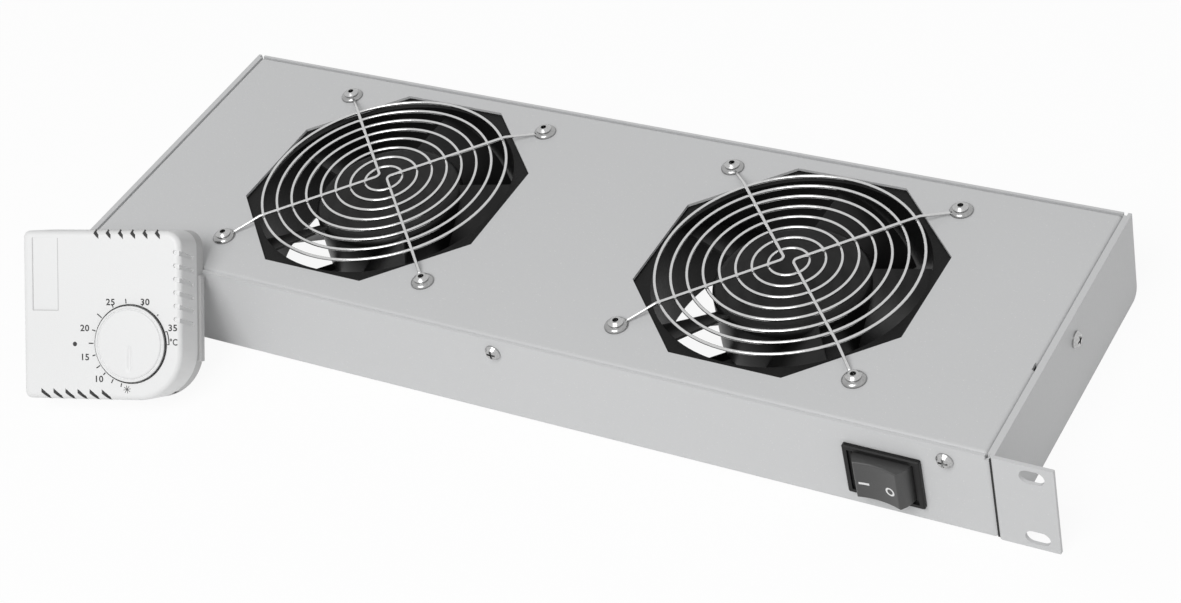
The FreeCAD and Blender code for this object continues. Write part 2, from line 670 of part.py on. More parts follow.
    # spade terminals in the open corner between the two flanges
    corner_place = Placement(Vector(amount(fan_place[0]), amount(fan_place[1]), amount(fan_place[2])),
                             Rotation(Vector(0, 0, 1), 45))
    terminals = new_body(f"fan_terminals_{side}", *fan_place)
    terminals.Placement = corner_place
    wall = "(fan_bore/2 + fan_wall)"
    pad(terminals, sketch(terminals, "XY_Plane", box(wall, "-5.5", f"{wall} + 5", "5.5"), lift="fan_flange + 5"), "8")
    for spade in (-1, 1):
        tab = box(f"{wall} + 5", f"{spade}*3 - 0.4", f"{wall} + 11.5", f"{spade}*3 + 0.4")
        pad(terminals, sketch(terminals, "XY_Plane", tab, lift="fan_flange + 7.6"), "2.8")

# ---------------------------------------------------------------- wire guards and their rivets
cover_top = "body_height"
ring_z, cross_z = "guard_lift", "(guard_lift + guard_wire - 0.2)"


def cross_wire(way):
    """A hairpin: from one eyelet up over the rings, round the middle and back to the other eyelet."""
    wire, corner = amount("guard_wire"), amount("fan_holes/2")
    top, foot = amount(cross_z), amount("eyelet_thick/2")
    turn = amount("guard_hairpin")
    apex = Vector(way * amount("guard_cross_gap + guard_wire")/2, 0, top)
    centre = apex + Vector(way * turn, 0, 0)
    eyelet = Vector(way * corner, corner, foot)
    # the leg leaves the hairpin's circle at its tangent towards the eyelet
    reach = math.hypot(eyelet.x - centre.x, eyelet.y)
    lean = math.atan2(eyelet.y, eyelet.x - centre.x)
    swing = lean + way * math.acos(turn / reach)
    touch = centre + Vector(turn * math.cos(swing), turn * math.sin(swing), 0)
    along = Vector(eyelet.x - touch.x, eyelet.y - touch.y, 0)
    length = along.Length
    along.normalize()
    outer = amount("guard_radius")
    shoulder = touch + along * (length - amount("fan_holes/2*sqrt(2)") + outer + wire)
    landing = eyelet - along * amount("eyelet_diameter/2 - guard_wire/2")
    points = [landing, shoulder, touch]
    mirrored = [Vector(point.x, -point.y, point.z) for point in reversed(points)]
    edges = [Part.LineSegment(a, b).toShape() for a, b in zip(points, points[1:])]
    edges.append(Part.Arc(touch, apex, mirrored[0]).toShape())
    edges += [Part.LineSegment(a, b).toShape() for a, b in zip(mirrored, mirrored[1:])]
    section = Part.Wire(Part.Circle(landing, shoulder - landing, wire/2).toShape())
    return Part.Wire(edges).makePipeShell([section], True, False, 2)


for side, way in sides:
    fan_axis = Vector(way * amount("fan_spread"), amount(fan_y), amount(cover_top))

    rings = new_body(f"template_guard_rings_{side}")
    half = "guard_wire/2"
    loops = [box(f"guard_radius - {ring}*guard_pitch - {half}", f"{ring_z} - {half}",
                 f"guard_radius - {ring}*guard_pitch + {half}", f"{ring_z} + {half}")
             for ring in range(int(amount("guard_rings")))]
    revolve(rings, sketch(rings, "XZ_Plane", *loops))
    eyelets = [Part.makeCylinder(amount("eyelet_diameter/2"), amount("eyelet_thick"), Vector(x, y, 0))
               .cut(Part.makeCylinder(amount("rivet_shank/2 + 0.3"), amount("eyelet_thick"), Vector(x, y, 0)))
               for x, y in [(x * amount("fan_holes/2"), y * amount("fan_holes/2")) for x, y in diagonal_corners]]
    guard = doc.addObject("Part::Feature", f"finger_guard_{side}")
    guard.Label = f"finger_guard_{side}"
    guard.Shape = rings.Shape.multiFuse([cross_wire(-1), cross_wire(1)] + eyelets)
    guard.Placement = Placement(fan_axis, Rotation())
    nodes.append(guard)

rivet = new_body("template_blind_rivet")
below = "(eyelet_thick + sheet + fan_flange)"
rivet_plan = [("0", "-3"), ("rivet_hollow/2", "-3"), ("rivet_hollow/2", "rivet_dome"),
              ("rivet_head/2 - 1.2", "rivet_dome"), ("rivet_head/2", "rivet_dome*0.4"), ("rivet_head/2", "0"),
              ("rivet_shank/2", "0"),
              ("rivet_shank/2", f"-{below}"), ("rivet_shank/2 + 0.8", f"-{below}"),
              ("rivet_shank/2 + 0.8", f"-{below} - 2"), ("rivet_shank/2", f"-{below} - 3.5"),
              ("0", f"-{below} - 3.5")]
revolve(rivet, sketch(rivet, "XZ_Plane", rivet_plan))
for side, way in sides:
    places = [Placement(Vector(amount(f"{way}*fan_spread + {x}*fan_holes/2"), amount(f"{fan_y} + {y}*fan_holes/2"),
                               amount(f"{cover_top} + eyelet_thick")), Rotation()) for x, y in diagonal_corners]
    group(f"guard_rivets_{side}", copies(rivet, places))

# ---------------------------------------------------------------- pan-head screws, drawn pointing along -Z
screw = new_body("template_pan_head_screw")
screw_plan = [("0", "-screw_length"), ("screw_shank/2 - 0.6", "-screw_length"), ("screw_shank/2", "0.8 - screw_length"),
              ("screw_shank/2", "0"), ("screw_head/2", "0"), ("screw_head/2", "0.7"),
              ("screw_head/2 - 1.1", "screw_dome - 0.15"), ("0", "screw_dome")]
revolve(screw, sketch(screw, "XZ_Plane", screw_plan))
cross = [("-0.5", "-2"), ("0.5", "-2"), ("0.5", "-0.5"), ("2", "-0.5"), ("2", "0.5"), ("0.5", "0.5"),
         ("0.5", "2"), ("-0.5", "2"), ("-0.5", "0.5"), ("-2", "0.5"), ("-2", "-0.5"), ("-0.5", "-0.5")]
pocket(screw, sketch(screw, "XY_Plane", cross, lift="screw_dome + 0.1"), "1.6")
forward, backward = Rotation(Vector(1, 0, 0), 90), Rotation(Vector(1, 0, 0), -90)
screw_places = [Placement(Vector(amount(f"{x}*screw_spread"), amount(face), amount("screw_height")), turn)
                for x in (-1, 0, 1) for face, turn in ((front, forward), (rear, backward))]
screw_places += [Placement(Vector(amount(f"{way}*({half_width} + ear_sheet)"), amount("side_screw_y"),
                                  amount("side_screw_height")), Rotation(Vector(0, 1, 0), way * 90))
                 for side, way in sides]
group("cover_screws", copies(screw, screw_places))

# ---------------------------------------------------------------- rocker switch, built about the middle of its cut-out
switch_place = ("switch_x", front, "switch_z")
well_reach = "sqrt(rocker_half^2 + (rocker_rise + rocker_pivot)^2)"

housing = new_body("switch_housing", *switch_place)
bezel = box("-bezel_width/2", "-bezel_height/2", "bezel_width/2", "bezel_height/2")
pad(housing, sketch(housing, "XZ_Plane", bezel), "bezel_thick")
fillet(housing, "bezel_corner", lambda edge: edge.BoundBox.XLength < TINY and edge.BoundBox.ZLength < TINY)
dress("Chamfer", housing, "0.5", lambda edge: edge.BoundBox.YMax < TINY - amount("bezel_thick"))
body_box = box("-switch_body_width/2", "-switch_body_height/2", "switch_body_width/2", "switch_body_height/2")
pad(housing, sketch(housing, "XZ_Plane", body_box), "switch_body_depth", reverse=True)
recess = box("bezel_rim - bezel_width/2", "bezel_rim - bezel_height/2", "bezel_width/2 - bezel_rim",
             "bezel_height/2 - bezel_rim")
pocket(housing, sketch(housing, "XZ_Plane", recess, lift="bezel_thick"), "bezel_thick/2")
well = box(f"-{well_reach} - rocker_gap", "-rocker_height/2 - rocker_gap", f"{well_reach} + rocker_gap",
           "rocker_height/2 + rocker_gap")
pocket(housing, sketch(housing, "XZ_Plane", well, lift="bezel_thick/2"), "switch_body_depth - 4")

rocker = new_body("switch_rocker", "switch_x", f"{front} + rocker_pivot", "switch_z")
face, root = "-(rocker_rise + rocker_pivot)", "3.5"
dish = "(rocker_half^2/(2*rocker_dish) + rocker_dish/2)"
rocker_plan = [("-rocker_half", face, f"-{dish}"), ("rocker_half", face, well_reach),
               (f"{well_reach}", "0"), ("rocker_half/2", root), ("-rocker_half/2", root),
               (f"-{well_reach}", "0", well_reach)]
pad(rocker, sketch(rocker, "XY_Plane", rocker_plan), "rocker_height", both_ways=True)
fillet(rocker, "rocker_edge", lambda edge: edge.BoundBox.YMax < amount("-rocker_pivot - 2"))
pocket(rocker, sketch(rocker, "XY_Plane", ("circle", "0", "0", "rocker_pin/2 + running_gap")), "2*rocker_height",
       both_ways=True)
rocker.Placement.Rotation = Rotation(Vector(0, 0, 1), -amount("rocker_throw/2"))

pin = new_body("switch_pin", "switch_x", f"{front} + rocker_pivot", "switch_z")
pad(pin, sketch(pin, "XY_Plane", ("circle", "0", "0", "rocker_pin/2")), "rocker_height + 2*rocker_gap", both_ways=True)

tabs = new_body("switch_terminals", *switch_place)
tab_boxes = [box(f"{x}*6 - 0.4", f"{z}*5 - 2.4", f"{x}*6 + 0.4", f"{z}*5 + 2.4") for x, z in diagonal_corners]
pad(tabs, sketch(tabs, "XZ_Plane", *tab_boxes, lift="-switch_body_depth"), "8", reverse=True)

# ---------------------------------------------------------------- mains inlet in the rear wall
inlet_place = ("inlet_x", rear, "inlet_z")
inlet = new_body("power_inlet", *inlet_place)
inlet_flange = box("-inlet_flange/2", "-inlet_height/2", "inlet_flange/2", "inlet_height/2")
pad(inlet, sketch(inlet, "XZ_Plane", inlet_flange), "inlet_plate", reverse=True)
fillet(inlet, "5", lambda edge: edge.BoundBox.XLength < TINY and edge.BoundBox.ZLength < TINY)
inlet_body = box("-inlet_body_width/2", "-inlet_body_height/2", "inlet_body_width/2", "inlet_body_height/2")
pad(inlet, sketch(inlet, "XZ_Plane", inlet_body), "inlet_depth")
w, t, cut = "inlet_socket_width/2", "inlet_socket_height/2", "4.5"
socket = [(f"-{w}", f"-{t}"), (w, f"-{t}"), (w, f"{t} - {cut}"), (f"{w} - {cut}", t), (f"{cut} - {w}", t),
          (f"-{w}", f"{t} - {cut}")]
pocket(inlet, sketch(inlet, "XZ_Plane", socket, lift="-inlet_plate"), "inlet_socket_depth", reverse=True)
inlet_holes = [("circle", f"{x}*inlet_screws/2", "0", screw_hole) for x in (-1, 1)]
pocket(inlet, sketch(inlet, "XZ_Plane", *inlet_holes, lift="-inlet_plate"), "inlet_plate", reverse=True)

pins = new_body("inlet_pins", *inlet_place)
pin_boxes = [box(f"{x}*contact_pitch - contact_thick/2", f"{z}*contact_rise - contact_width/2",
                 f"{x}*contact_pitch + contact_thick/2", f"{z}*contact_rise + contact_width/2")
             for x, z in ((-1, 0), (0, 1), (1, 0))]
pad(pins, sketch(pins, "XZ_Plane", *pin_boxes, lift="inlet_socket_depth - inlet_plate"), "inlet_socket_depth - 1",
    reverse=True)

nut = new_body("template_nut")
hexagon = [(f"nut_across/sqrt(3)*{math.cos(math.radians(60 * k)):.6f}",
            f"nut_across/sqrt(3)*{math.sin(math.radians(60 * k)):.6f}")
           for k in range(6)]
pad(nut, sketch(nut, "XY_Plane", hexagon, ("circle", "0", "0", screw_hole)), "nut_thick")
inlet_spots = [(amount(f"inlet_x + {x}*inlet_screws/2"), amount("inlet_z")) for x in (-1, 1)]
inlet_places = [Placement(Vector(x, amount(f"{rear} + inlet_plate"), z), backward) for x, z in inlet_spots]
nut_places = [Placement(Vector(x, amount(f"{rear} - sheet"), z), forward) for x, z in inlet_spots]
group("inlet_screws", copies(screw, inlet_places) + copies(nut, nut_places))

# ---------------------------------------------------------------- grommet, terminal block and earth stud
grommet = new_body("lead_grommet", "grommet_x", rear, "inlet_z")
rim = "grommet_diameter/2"
ring = [("grommet_bore/2", "-sheet - 2"), (f"{rim} - 0.8", "-sheet - 2"), (rim, "-sheet - 1.2"), (rim, "-sheet"),
        ("grommet_hole/2", "-sheet"), ("grommet_hole/2", "0"), (rim, "0"), (rim, "1.2"), (f"{rim} - 0.8", "2"),
        ("grommet_bore/2", "2")]
revolve(grommet, sketch(grommet, "XY_Plane", ring), "Y_Axis")

pole_pitch = "(block_length - 4)/block_poles"
pole_spots = [f"({pole_pitch})*{pole - (amount('block_poles') - 1) / 2}" for pole in range(int(amount("block_poles")))]
block = new_body("terminal_block", "0", "block_y", "sheet")
pad(block, sketch(block, "XY_Plane", box("-block_length/2", "-block_depth/2", "block_length/2", "block_depth/2")),
    "block_height - 4")
pad(block, sketch(block, "XY_Plane", box("-block_length/2", "-block_depth/4", "block_length/2", "block_depth/4")),
    "block_height")
screw_wells = [("circle", x, "0", "2.2") for x in pole_spots]
pocket(block, sketch(block, "XY_Plane", *screw_wells, lift="block_height"), "6")
wire_ways = [("circle", x, "block_height/2 - 2.5", "1.9") for x in pole_spots]
pocket(block, sketch(block, "XZ_Plane", *wire_ways), "block_depth + 2", both_ways=True)

clamps = new_body("terminal_screws", "0", "block_y", "sheet + block_height - 6")
pad(clamps, sketch(clamps, "XY_Plane", *[("circle", x, "0", "2.1") for x in pole_spots]), "4")
slots = [box(f"{x} - 1.8", "-0.35", f"{x} + 1.8", "0.35") for x in pole_spots]
pocket(clamps, sketch(clamps, "XY_Plane", *slots, lift="4"), "0.8")

stud = new_body("earth_stud", "stud_x", "stud_y", "0")
pad(stud, sketch(stud, "XY_Plane", ("circle", "0", "0", "stud_diameter/2")), "stud_length")
dress("Chamfer", stud, "0.5", lambda edge: edge.BoundBox.ZMin > amount("stud_length") - TINY)
earth_nut = new_body("earth_nut", "stud_x", "stud_y", "sheet")
stud_hole = ("circle", "0", "0", "stud_diameter/2 + screw_fit")
pad(earth_nut, sketch(earth_nut, "XY_Plane", ("circle", "0", "0", "stud_diameter + 0.5"), stud_hole), "1")
pad(earth_nut, sketch(earth_nut, "XY_Plane", [(f"1.08*({x})", f"1.08*({y})") for x, y in hexagon], stud_hole, lift="1"),
    "3.2")

# ---------------------------------------------------------------- room thermostat, leaning on the tray's front edge
lean, yaw = math.radians(amount("stat_lean")), math.radians(amount("stat_yaw"))
rise_on_back = amount("body_height") / math.cos(lean)
along_back = amount("stat_width/2 - stat_inset")
foot_y = amount(f"{front} - stat_gap") - along_back * math.sin(yaw) - rise_on_back * math.sin(lean) * math.cos(yaw)
tilt = Rotation(Vector(0, 0, 1), math.degrees(yaw)).multiply(Rotation(Vector(1, 0, 0), -math.degrees(lean)))
stat_frame = Placement(Vector(amount("stat_foot_x"), foot_y, 0), tilt)
dial_frame = stat_frame.multiply(Placement(Vector(amount("dial_x"), -amount("stat_depth"), amount("dial_z")), Rotation()))
spindle_hole = "spindle_diameter/2 + running_gap"


def stat_outline():
    """Front view of the thermostat: small corners at the left, a large one round the dial."""
    side_x, top = "stat_width/2", "stat_height"
    return [(f"stat_corner - {side_x}", "0"), (f"{side_x} - stat_dial_corner", "0", "stat_dial_corner"),
            (side_x, "stat_dial_corner"), (side_x, f"{top} - stat_top_corner", "stat_top_corner"),
            (f"{side_x} - stat_top_corner", top), (f"stat_corner - {side_x}", top, "stat_corner"),
            (f"-{side_x}", f"{top} - stat_corner"), (f"-{side_x}", "stat_corner", "stat_corner")]


def louvre(x0, z0, x1, z1):
    """Plan of one slanted slot, between the middles of its short ends."""
    half = "louvre_width/2"
    return [(x0, f"{z0} - {half}"), (x1, f"{z1} - {half}"), (x1, f"{z1} + {half}"), (x0, f"{z0} + {half}")]


base = new_body("stat_base", frame=stat_frame)
pad(base, sketch(base, "XZ_Plane", stat_outline()), "stat_base")
tray_box = box("stat_wall - stat_width/2", "stat_wall", "stat_width/2 - stat_dial_corner/2", "stat_height - stat_wall")
pocket(base, sketch(base, "XZ_Plane", tray_box, lift="stat_base"), "stat_base - stat_floor")
wall_holes = [("circle", "0", f"stat_height/2 + {z}*wall_screws/2", "2.2") for z in (-1, 1)]
pocket(base, sketch(base, "XZ_Plane", *wall_holes, lift="stat_base"), "stat_base")
tongue = box("stat_width/2 - 1", "tongue_low", "stat_width/2 + tongue_reach", "tongue_high")
pad(base, sketch(base, "XZ_Plane", tongue, lift="1.5"), "3")

shell = new_body("stat_cover", frame=stat_frame)
pad(shell, sketch(shell, "XZ_Plane", stat_outline(), lift="stat_base"), "stat_depth - stat_base")
fillet(shell, "stat_edge", lambda edge: edge.BoundBox.YMax < TINY - amount("stat_depth"))
hollow(shell, "stat_wall", lambda face: face.BoundBox.YMin > -TINY - amount("stat_base"))
label_left = "(label_inset - stat_width/2)"
label = box(label_left, "label_low", f"{label_left} + label_width", "stat_height - stat_edge - 0.3")
pocket(shell, sketch(shell, "XZ_Plane", label, lift="stat_depth"), "0.3")
dial_well = ("circle", "dial_x", "dial_z", "dial_diameter/2 + dial_gap")
pocket(shell, sketch(shell, "XZ_Plane", dial_well, lift="stat_depth"), "dial_well")
pocket(shell, sketch(shell, "XZ_Plane", ("circle", "dial_x", "dial_z", spindle_hole), lift="stat_depth"), "stat_wall*2")
top_slots = [louvre(f"{k}*louvre_pitch - top_louvres", "stat_height - top_louvre_rim",
                    f"{k}*louvre_pitch - top_louvres + top_louvre_run",
                    "stat_height - top_louvre_rim - top_louvre_fall") for k in range(6)]
low_slots = [louvre(f"{k}*louvre_pitch - low_louvres", "low_louvre_rim + low_louvre_fall",
                    f"{k}*louvre_pitch - low_louvres + low_louvre_run", "low_louvre_rim") for k in range(6)]
pocket(shell, sketch(shell, "XZ_Plane", *top_slots, *low_slots, lift="stat_depth"), "stat_wall*3")


def grips(start, top, length):
    """Six obround grooves that slope down along the turned sketch's x."""
    places = [(start, f"({top} - {k}*grip_pitch)") for k in range(6)]
    return [("slot", f"({x})*cos(grip_slant) - {z}*sin(grip_slant) + ({length})/2",
             f"({x})*sin(grip_slant) + {z}*cos(grip_slant)", length, "grip_width") for x, z in places]


slant = -amount("grip_slant")
face_grips = sketch(shell, "XZ_Plane", *grips("stat_width/2 - grip_reach", "grip_top", "2*grip_reach"),
                    lift="stat_depth", turn=slant)
pocket(shell, face_grips, "grip_depth")
side_top = "grip_top - (grip_reach - 1)*tan(grip_slant)"
side_grips = sketch(shell, "YZ_Plane", *grips("-stat_depth - 1", side_top, "grip_run + 1"), lift="stat_width/2",
                    turn=slant)
pocket(shell, side_grips, "grip_depth")

dial = new_body("stat_dial", frame=dial_frame)
cap, flange = "dial_cap/2", "dial_diameter/2"
dial_plan = [("0", "-dial_rise"), (f"{cap} - 0.9", "-dial_rise", "0.9"), (cap, "0.9 - dial_rise"),
             (cap, "dial_well - 0.3 - dial_flange"), (flange, "dial_well - 0.3 - dial_flange"),
             (flange, "dial_well - 0.3"), ("0", "dial_well - 0.3")]
revolve(dial, sketch(dial, "XY_Plane", dial_plan), "Y_Axis")
pointer = box("-0.6", f"3 - {cap}", "0.6", "-0.8")
pocket(dial, sketch(dial, "XZ_Plane", pointer, lift="dial_rise"), "0.8")

spindle = new_body("stat_spindle", frame=dial_frame)
pad(spindle, sketch(spindle, "XZ_Plane", ("circle", "0", "0", "spindle_diameter/2"), lift="0.3 - dial_well"),
    "spindle_length", reverse=True)
cam = sketch(spindle, "XZ_Plane", ("circle", "0", "1.5", "spindle_diameter"), lift="-spindle_length + 2")
pad(spindle, cam, "2.5", reverse=True)

switch = new_body("stat_switch", frame=stat_frame)
snap_box = box("snap_left", "snap_low", "snap_left + snap_length", "snap_low + snap_height")
pad(switch, sketch(switch, "XZ_Plane", snap_box, lift="stat_floor"), "snap_depth")
plunger = box("snap_left + plunger_inset", "snap_low - plunger_reach", "snap_left + plunger_inset + plunger_width",
              "snap_low")
pad(switch, sketch(switch, "XZ_Plane", plunger, lift="stat_floor + snap_depth/4"), "snap_depth/2")

bimetal = new_body("stat_bimetal", frame=stat_frame)
post_right = "stat_width/2 - stat_dial_corner/2"
post_left, post_top = f"{post_right} - post_width", "post_low + post_height"
strip_z, strip_end = "post_low + strip_rise", "snap_left + strip_overlap"
strip = [(post_left, "post_low"), (post_right, "post_low"), (post_right, post_top), (post_left, post_top),
         (post_left, f"{strip_z} + strip_thick"), (strip_end, f"{strip_z} + strip_climb + strip_thick"),
         (strip_end, f"{strip_z} + strip_climb"), (post_left, strip_z)]
pad(bimetal, sketch(bimetal, "XZ_Plane", strip, lift="stat_floor"), "strip_width")

terminals = new_body("stat_terminals", frame=stat_frame)
stat_block_left = "stat_block_inset - stat_width/2"
stat_block = box(stat_block_left, "stat_block_low", f"{stat_block_left} + 2*stat_pole_edge + 2*stat_pole_pitch",
                 "stat_block_low + stat_block_height")
pad(terminals, sketch(terminals, "XZ_Plane", stat_block, lift="stat_floor"), "stat_block_depth")
stat_wells = [("circle", f"{stat_block_left} + stat_pole_edge + {pole}*stat_pole_pitch",
               "stat_block_low + stat_block_height/2", "stat_well/2") for pole in range(3)]
pocket(terminals, sketch(terminals, "XZ_Plane", *stat_wells, lift="stat_floor + stat_block_depth"),
       "stat_well_depth")


# ---------------------------------------------------------------- check and write
doc.recompute()
for thing in doc.Objects:
    if "Invalid" in thing.State or "Error" in thing.State:
        raise ValueError(f"{thing.Label} failed: {thing.State}")
os.makedirs("parts", exist_ok=True)
for node in nodes:
    if node.Shape.isNull() or not node.Shape.isValid() or not node.Shape.Solids:
        raise ValueError(f"{node.Label} has no sound solid")
    node.Shape.exportStep(f"parts/{node.Label}.step")
    print(f"{node.Label}: {len(node.Shape.Solids)} solids, {node.Shape.Volume / 1000:.2f} cm3")
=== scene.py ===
"""Rack fan tray: powder-coated sheet steel, two fans under plated wire guards, a rocker switch and
the room thermostat that goes with it.  Metres, +Z up, the front panel faces -Y.
"""
import json
import math
import bpy
import numpy as np
from mathutils import Matrix, Vector


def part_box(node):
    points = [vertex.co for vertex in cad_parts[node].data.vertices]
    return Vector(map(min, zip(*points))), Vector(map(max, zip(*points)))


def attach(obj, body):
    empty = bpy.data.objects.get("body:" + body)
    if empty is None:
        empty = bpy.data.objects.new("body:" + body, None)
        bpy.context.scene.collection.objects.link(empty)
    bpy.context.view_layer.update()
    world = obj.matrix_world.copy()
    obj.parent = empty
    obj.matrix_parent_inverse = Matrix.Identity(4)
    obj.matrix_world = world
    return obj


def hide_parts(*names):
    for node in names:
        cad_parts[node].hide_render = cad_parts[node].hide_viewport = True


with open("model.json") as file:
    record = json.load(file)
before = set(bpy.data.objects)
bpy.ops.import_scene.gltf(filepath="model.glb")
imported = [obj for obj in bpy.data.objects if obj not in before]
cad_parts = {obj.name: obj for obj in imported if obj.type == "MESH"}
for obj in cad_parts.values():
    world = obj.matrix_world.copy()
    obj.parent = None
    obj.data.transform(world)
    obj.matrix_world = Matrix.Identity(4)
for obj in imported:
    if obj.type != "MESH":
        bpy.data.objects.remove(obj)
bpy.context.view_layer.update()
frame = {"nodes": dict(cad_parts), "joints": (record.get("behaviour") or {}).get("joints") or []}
MM = 0.001

# ---------------------------------------------------------------- the view
# The tray is seen from its front right corner, from above, with the camera rolled a little so that
# the long front edge falls away to the right.
AZIMUTH, ELEVATION, ROLL = np.radians([38.102, 39.535, -13.955])
STANDPOINT = (0.524209, -0.670763, 0.705057)
SENSOR, LENS = 36, 77.961
backward = np.array([math.sin(AZIMUTH) * math.cos(ELEVATION), -math.cos(AZIMUTH) * math.cos(ELEVATION),
                     math.sin(ELEVATION)])
level = np.cross([0, 0, 1], backward) / math.cos(ELEVATION)
upright = np.cross(backward, level)
camera = bpy.data.objects.new("camera", bpy.data.cameras.new("camera"))
camera.data.sensor_width, camera.data.lens = SENSOR, LENS
camera.data.clip_start, camera.data.clip_end = 0.05, 20
axes = np.array([math.cos(ROLL) * level + math.sin(ROLL) * upright,
                 math.cos(ROLL) * upright - math.sin(ROLL) * level, backward])
camera.matrix_world = Matrix.Translation(STANDPOINT) @ Matrix(axes.T.tolist()).to_4x4()
bpy.context.scene.collection.objects.link(camera)
bpy.context.scene.camera = camera
bpy.context.scene.view_settings.view_transform = "Standard"


# ---------------------------------------------------------------- the room
# A pale studio: an even white surround, one wide soft lamp in front and above, and a white floor
# that keeps a faint shadow.
class Socket:
    """A shader socket.  Arithmetic on it adds Math nodes, and make() adds any other node."""

    def __init__(self, tree, socket=None):
        self.tree, self.socket = tree, socket

    def make(self, kind, settings=None, inputs=None, output=0):
        """Adds a node: first its settings, then its sockets' values or links."""
        node = self.tree.nodes.new("ShaderNode" + kind)
        for name, value in (settings or {}).items():
            setattr(node, name, value)
        for name, value in (inputs or {}).items():
            if isinstance(value, Socket):
                self.tree.links.new(value.socket, node.inputs[name])
            else:
                node.inputs[name].default_value = value
        return Socket(self.tree, node.outputs[output] if node.outputs else None)

    def math(self, operation, first, second):
        return self.make("Math", {"operation": operation}, {0: first, 1: second})

    def __add__(self, other):
        return self.math("ADD", self, other)

    def __mul__(self, other):
        return self.math("MULTIPLY", self, other)

    def __pow__(self, other):
        return self.math("POWER", self, other)

    def __gt__(self, other):
        return self.math("GREATER_THAN", self, other)

    def __or__(self, other):
        return self.math("MAXIMUM", self, other)

    __radd__, __rmul__ = __add__, __mul__

    def blend(self, low, high):
        """The colour low where this value is 0 and high where it is 1."""
        return self.make("Mix", {"data_type": "RGBA"}, {0: self, 6: low, 7: high}, 2)


def blank(owner):
    """An empty node tree on a material or world."""
    owner.use_nodes = True
    owner.node_tree.nodes.clear()
    return Socket(owner.node_tree)


def backdrop(tree):
    """1 for the rays that show the room, also in metal and glass, and 0 for those that light the object."""
    seen, mirrored, through = [tree.make("LightPath", output=f"Is {kind} Ray")
                               for kind in ("Camera", "Glossy", "Transmission")]
    return seen | mirrored | through


AMBIENT = 0.40
WHITE = (1, 1, 1, 1)
bpy.context.scene.world = bpy.data.worlds.new("white_room")
air = blank(bpy.context.scene.world)
glow = air.make("Background", inputs={"Color": WHITE, "Strength": AMBIENT + (1 - AMBIENT) * backdrop(air)})
air.make("OutputWorld", inputs={"Surface": glow})

FLOOR_HALF, FLOOR_Z = 3, -0.0002
FLOOR_PAINT = (0.9, 0.9, 0.9, 1)
FLOOR_GLOW = 0.93   # the rest of the floor's brightness is lit, and shows the shadow
corners = [(x * FLOOR_HALF, y * FLOOR_HALF, FLOOR_Z) for x, y in ((-1, -1), (1, -1), (1, 1), (-1, 1))]
floor_mesh = bpy.data.meshes.new("floor")
floor_mesh.from_pydata(corners, [], [(0, 1, 2, 3)])
floor = bpy.data.objects.new("floor", floor_mesh)
bpy.context.scene.collection.objects.link(floor)
floor_mesh.materials.append(bpy.data.materials.new("floor"))
ground = blank(floor_mesh.materials[0])
paint = ground.make("BsdfDiffuse", inputs={"Color": FLOOR_PAINT})
glow = ground.make("Emission", inputs={"Color": WHITE, "Strength": 1.0})
lit = ground.make("MixShader", inputs={0: FLOOR_GLOW * backdrop(ground), 1: paint, 2: glow})
ground.make("OutputMaterial", inputs={"Surface": lit})

LAMP_WIDTH, LAMP_WATTS, LAMP_DISTANCE = 1.4, 28.7, 2.2
LAMP_SIDE = Vector((0.05, -0.617, 0.785))
lamp = bpy.data.objects.new("lamp", bpy.data.lights.new("lamp", "AREA"))
lamp.data.shape, lamp.data.size, lamp.data.energy = "DISK", LAMP_WIDTH, LAMP_WATTS
lamp.location = LAMP_DISTANCE * LAMP_SIDE
lamp.rotation_euler = (-lamp.location).to_track_quat("-Z", "Y").to_euler()
bpy.context.scene.collection.objects.link(lamp)

# ---------------------------------------------------------------- tray, side plates and cover
# Cold-rolled steel sheet, punched and folded, then powder-coated light grey. The coat is satin and
# has a faint orange-peel skin with finer grain in it.
def finish(name):
    """A new material, its empty tree and the object's own coordinates in it."""
    material = bpy.data.materials.new(name)
    tree = blank(material)
    return material, tree, tree.make("TexCoord", output="Object")


def noise(tree, place, scale, detail=2, roughness=0.5):
    """A cloudy value from 0 to 1 with about scale lumps to the metre."""
    return tree.make("TexNoise", inputs={"Vector": place, "Scale": scale, "Detail": detail,
                                         "Roughness": roughness})


def surface(tree, colour, roughness, metallic=0.0, height=None, depth=0.0, **more):
    """The Principled shader, with height as its bump, depth metres high.  More sockets are named with
    _ for each space."""
    inputs = {"Base Color": colour, "Roughness": roughness, "Metallic": metallic}
    if height is not None:
        inputs["Normal"] = tree.make("Bump", inputs={"Strength": 1.0, "Distance": depth, "Height": height})
    inputs.update({name.replace("_", " "): value for name, value in more.items()})
    tree.make("OutputMaterial", inputs={"Surface": tree.make("BsdfPrincipled", inputs=inputs)})


def grey(value, tint=(1.0, 1.0, 1.0)):
    """A grey of this value, turned a little by the tint's red, green and blue."""
    return tuple(value * part for part in tint) + (1,)


def dress(material, *nodes):
    """Gives CAD nodes their finish."""
    for node in nodes:
        slots = frame["nodes"][node].data.materials
        slots.clear()
        slots.append(material)


COOL = (0.992, 1.0, 1.008)
powder, tree, here = finish("grey_powder_coat")
peel = noise(tree, here, 620, 2)
grain = noise(tree, here, 2600, 3, 0.6)
cloud = noise(tree, here, 9, 2)
speck = noise(tree, here, 1500, 1) > 0.735
tone = (cloud * 0.5 + grain * 0.5).blend(grey(0.575, COOL), grey(0.630, COOL))
surface(tree, speck.blend(tone, grey(0.70)), 0.34 + peel * 0.14, height=peel * 0.7 + grain * 0.3,
        depth=0.00009)
dress(powder, "chassis", "side_plate_left", "side_plate_right", "top_cover")

